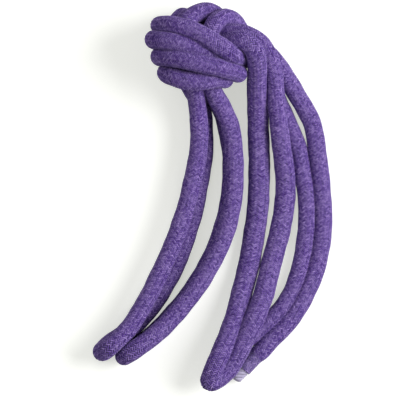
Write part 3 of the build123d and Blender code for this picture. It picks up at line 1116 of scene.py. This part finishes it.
@dataclass(frozen=True)
class TextileFinish:
    """What every fibre finish has: colours from dark to light, and a soft sheen.

    Attributes:
        name: the material's name.
        dark: colour at the low end of the value: on the yarns painted shade at their sides and in the
            hollows, elsewhere a tone that varies at random.
        mid: colour between.
        light: colour at the high end of the value: on the yarns a painted highlight along their crowns,
            elsewhere a tone that varies at random.
        tint: colour of worn patches.
        worn: how far the patches take that colour.
        sheen: strength of the sheen.
        roughness: roughness of the fibres.
    """

    name: str
    dark: Point
    mid: Point
    light: Point
    tint: Point = (0.42, 0.34, 0.60)
    worn: float = 0.35
    sheen: float = 0.5
    roughness: float = 0.85

    def base(self) -> tuple[bpy.types.Material, bpy.types.NodeTree, bpy.types.Node]:
        """A new material with its constant values set, its tree and its shader."""
        material = bpy.data.materials.new(self.name)
        material.use_nodes = True
        shader = material.node_tree.nodes["Principled BSDF"]
        shader.inputs["Roughness"].default_value = self.roughness
        shader.inputs["Specular IOR Level"].default_value = 0.2
        shader.inputs["Sheen Weight"].default_value = self.sheen
        shader.inputs["Sheen Roughness"].default_value = 0.4
        shader.inputs["Sheen Tint"].default_value = (0.82, 0.74, 1.0, 1)
        return material, material.node_tree, shader

    def coloured(self, tree: bpy.types.NodeTree, value: bpy.types.NodeSocket) -> bpy.types.NodeSocket:
        """The finish's colour for a value from 0 to 1, with its worn patches."""
        ramp = add_node(tree, "ShaderNodeValToRGB", {"Fac": value})
        ends = ramp.color_ramp.elements
        ends[0].position, ends[0].color = 0.12, (*self.dark, 1)
        ends[1].position, ends[1].color = 0.88, (*self.light, 1)
        ends.new(0.5).color = (*self.mid, 1)
        worn = add_node(tree, "ShaderNodeGroup", node_tree=FibreGroups.worn_tint())
        for name, number in (("Amount", self.worn), ("Patch Scale", 160.0), ("Grain Scale", 1900.0)):
            worn.inputs[name].default_value = number
        worn.inputs["Tint"].default_value = (*self.tint, 1)
        tree.links.new(ramp.outputs["Color"], worn.inputs["Color"])
        return worn.outputs["Color"]


@dataclass(frozen=True)
class YarnFinish(TextileFinish):
    """Spun yarn whose UV map counts yarns across and metres along.

    Attributes:
        across_scale: streaks across a yarn.
        along_scale: streaks in a metre of it.
        twist_rate: turn of the ply, in radians a metre.
        float_scale: how often a yarn's shade changes in a metre.
        crown_shading_weight: how much painted highlight a yarn gets along its crown, with painted shade at
            its sides.
        own_weight: how far yarns differ from each other.
        stretch_weight: how far stretches of one yarn differ.
        streak_weight: how far fibres differ.
        level: what is taken off the sum of these.
        relief: strength of the bump.
    """

    across_scale: float = 5.0
    along_scale: float = 420.0
    twist_rate: float = 5200.0
    float_scale: float = 420.0
    crown_shading_weight: float = 0.50
    own_weight: float = 0.16
    stretch_weight: float = 0.74
    streak_weight: float = 0.56
    level: float = 0.61
    relief: float = 0.5

    def material(self) -> bpy.types.Material:
        """Each yarn has its own tone, drifts along its length, and has painted shading: lighter along its
        crown, darker at its sides.

        The value is a weighted sum: the crown term, the sine of half a turn across the yarn, is painted
        shading, and the rest is noise by yarn, by stretch of yarn and by fibre.
        """
        material, tree, shader = self.base()
        uv = add_node(tree, "ShaderNodeTexCoord").outputs["UV"]
        parts = add_node(tree, "ShaderNodeSeparateXYZ", {0: uv})
        lane = add_math(tree, "FLOOR", parts.outputs[0])
        across = add_math(tree, "FRACT", parts.outputs[0])
        # painted shading across each yarn: lighter along its crown, darker at its sides
        crown = add_math(tree, "SINE", add_math(tree, "MULTIPLY", across, math.pi / LANE_SHARE))
        own = add_node(tree, "ShaderNodeTexWhiteNoise", {"W": lane}, noise_dimensions="1D").outputs["Value"]
        drift = add_node(tree, "ShaderNodeCombineXYZ", {
            0: add_math(tree, "MULTIPLY", lane, 7.31),
            1: add_math(tree, "MULTIPLY", parts.outputs[1], self.float_scale),
        })
        stretch = add_node(
            tree, "ShaderNodeTexNoise", {"Vector": drift.outputs[0], "Scale": 1.0, "Detail": 1.0}
        ).outputs["Fac"]
        streaks = add_node(tree, "ShaderNodeGroup", {
            "Vector": uv, "Across Scale": self.across_scale, "Along Scale": self.along_scale,
            "Twist Rate": self.twist_rate,
        }, node_tree=FibreGroups.streaks())
        value = add_math(tree, "MULTIPLY", crown, self.crown_shading_weight)
        for part, weight in (
            (own, self.own_weight),
            (stretch, self.stretch_weight),
            (streaks.outputs["Streak"], self.streak_weight),
        ):
            value = add_math(tree, "MULTIPLY_ADD", part, weight, value)
        value = add_math(tree, "SUBTRACT", value, self.level)
        tree.links.new(self.coloured(tree, value), shader.inputs["Base Color"])
        height = add_math(tree, "MULTIPLY_ADD", streaks.outputs["Twist"], 0.5, streaks.outputs["Streak"])
        bump = add_node(
            tree, "ShaderNodeBump", {"Height": height, "Strength": self.relief, "Distance": 0.00012}
        )
        tree.links.new(bump.outputs["Normal"], shader.inputs["Normal"])
        return material


@dataclass(frozen=True)
class BodyFinish(TextileFinish):
    """Matted fibre in the depth between the yarns, whose dark colours are painted shade in that depth."""

    def material(self) -> bpy.types.Material:
        """Fine noise over the body, in object space."""
        material, tree, shader = self.base()
        place = add_node(tree, "ShaderNodeTexCoord").outputs["Object"]
        noise = add_node(
            tree, "ShaderNodeTexNoise", {"Vector": place, "Scale": 1500.0, "Detail": 3.0}
        ).outputs["Fac"]
        tree.links.new(self.coloured(tree, noise), shader.inputs["Base Color"])
        bump = add_node(tree, "ShaderNodeBump", {"Height": noise, "Strength": 0.4, "Distance": 0.0001})
        tree.links.new(bump.outputs["Normal"], shader.inputs["Normal"])
        return material


@dataclass(frozen=True)
class FuzzFinish(TextileFinish):
    """Loose fibres, whose UV map holds a shade and whether the fibre is lint."""

    lint: Point = (0.72, 0.68, 0.80)

    def material(self) -> bpy.types.Material:
        """Each fibre has its own shade from dark to light, and lint is pale."""
        material, tree, shader = self.base()
        uv = add_node(tree, "ShaderNodeTexCoord").outputs["UV"]
        parts = add_node(tree, "ShaderNodeSeparateXYZ", {0: uv})
        colour = self.coloured(tree, parts.outputs[0])
        mixed = add_mix(tree, parts.outputs[1], colour, (*self.lint, 1))
        tree.links.new(mixed, shader.inputs["Base Color"])
        return material


@dataclass(frozen=True)
class SleeveFinish:
    """Clear shrunk plastic, slightly cloudy and scuffed."""

    name: str = "clear_plastic"
    clear: tuple[float, float, float, float] = (0.84, 0.82, 0.88, 1)
    cloudy: tuple[float, float, float, float] = (0.93, 0.92, 0.95, 1)

    def material(self) -> bpy.types.Material:
        """Thin clear wall: how much it hides and how rough it is follow cloudy noise."""
        material = bpy.data.materials.new(self.name)
        material.use_nodes = True
        tree = material.node_tree
        shader = tree.nodes["Principled BSDF"]
        shader.inputs["Specular IOR Level"].default_value = 0.4
        place = add_node(tree, "ShaderNodeTexCoord").outputs["Object"]
        cloud, scuff = (
            add_node(
                tree, "ShaderNodeTexNoise", {"Vector": place, "Scale": scale, "Detail": detail}
            ).outputs["Fac"]
            for scale, detail in ((420.0, 3.0), (2600.0, 2.0))
        )
        tree.links.new(add_mix(tree, cloud, self.clear, self.cloudy), shader.inputs["Base Color"])
        for source, low, high, target in ((cloud, 0.008, 0.035, "Alpha"), (scuff, 0.06, 0.22, "Roughness")):
            spread = add_node(tree, "ShaderNodeMapRange", {
                "Value": source, "From Min": 0.3, "From Max": 0.7, "To Min": low, "To Max": high,
            })
            tree.links.new(spread.outputs[0], shader.inputs[target])
        bump = add_node(tree, "ShaderNodeBump", {"Height": cloud, "Strength": 0.25, "Distance": 0.0002})
        tree.links.new(bump.outputs["Normal"], shader.inputs["Normal"])
        return material


VIOLET = YarnFinish(
    name="violet_yarn", worn=0.12, sheen=0.24,
    dark=(0.008, 0.003, 0.044), mid=(0.082, 0.034, 0.244), light=(0.410, 0.285, 0.650),
)
# body colours: dark, as painted shade in the depth between the yarns
DEPTH_SHADE = BodyFinish(
    name="violet_depth_shade", sheen=0.2,
    dark=(0.013, 0.006, 0.052), mid=(0.032, 0.016, 0.100), light=(0.062, 0.034, 0.165),
)
NAP = FuzzFinish(
    name="violet_nap", worn=0.1, sheen=0.24,
    dark=(0.015, 0.006, 0.064), mid=(0.082, 0.035, 0.244), light=(0.360, 0.250, 0.600),
)
# pale loose fibres: real fuzz whose paler colour is partly a painted rim highlight, where fuzzy edges catch
# light
HALO_RIM_HIGHLIGHT = FuzzFinish(
    name="pale_nap_rim_highlight", worn=0.1, sheen=0.3,
    dark=(0.060, 0.035, 0.170), mid=(0.150, 0.100, 0.320), light=(0.420, 0.350, 0.600),
)
PALE = YarnFinish(
    name="core_yarn", tint=(0.64, 0.61, 0.72), sheen=0.2, along_scale=900.0, twist_rate=0.0,
    dark=(0.26, 0.22, 0.36), mid=(0.40, 0.36, 0.52), light=(0.56, 0.52, 0.68),
)


def dress(piece: bpy.types.Object, material: bpy.types.Material) -> None:
    """Gives a piece its material and its body, and reports it."""
    piece.data.materials.append(material)
    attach(piece, ROOT)
    log.info("%s: %d faces", piece.name, len(piece.data.polygons))


def main() -> None:
    """Builds the rope, its ends and the studio, and reports each piece."""
    logging.basicConfig(level=logging.INFO, format="%(message)s")
    Studio().build()
    form = RopeForm(Route())
    log.info("rope line %.3f m, %d rings", form.length, len(form.line))
    cover = Cover(form)
    body = cover.body()
    # the body's dark colour is painted shade between the yarns
    dress(body, DEPTH_SHADE.material())
    ends = ("end_sleeve", "core_end")
    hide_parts(*[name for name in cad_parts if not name.startswith(ends)])
    extras = []
    violet = VIOLET.material()
    for lay in Lay:
        for first in range(0, cover.yarns_each_way, cover.yarns_a_piece):
            numbers = range(first, min(first + cover.yarns_a_piece, cover.yarns_each_way))
            extras.append(cover.yarns(lay, numbers))
            dress(extras[-1], violet)
    for fuzz, finish in (
        (Fuzz(
            form, "cover_nap", fibres=49000, shortest=0.0005, longest=0.0011, thickness=0.000065,
            lint_share=0.004, seed=7,
        ), NAP),
        # pale halo fibres, partly a painted rim highlight
        (Fuzz(
            form, "cover_halo", fibres=30000, shortest=0.0008, longest=0.0017, thickness=0.000045,
            lint_share=0.02, seed=11,
        ), HALO_RIM_HIGHLIGHT),
    ):
        extras.append(fuzz.build())
        dress(extras[-1], finish.material())
    clear, pale = SleeveFinish().material(), PALE.material()
    for end in (CutEnd(form, 3, True), CutEnd(form, 1, False)):
        sleeve, core = end.sleeve(), end.core()
        dress(sleeve, clear)
        dress(core, pale)
        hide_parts(f"end_sleeve_{end.number}")
        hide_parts(f"core_end_{end.number}")
        extras += [sleeve, core]


if __name__ == "__main__":
    main()
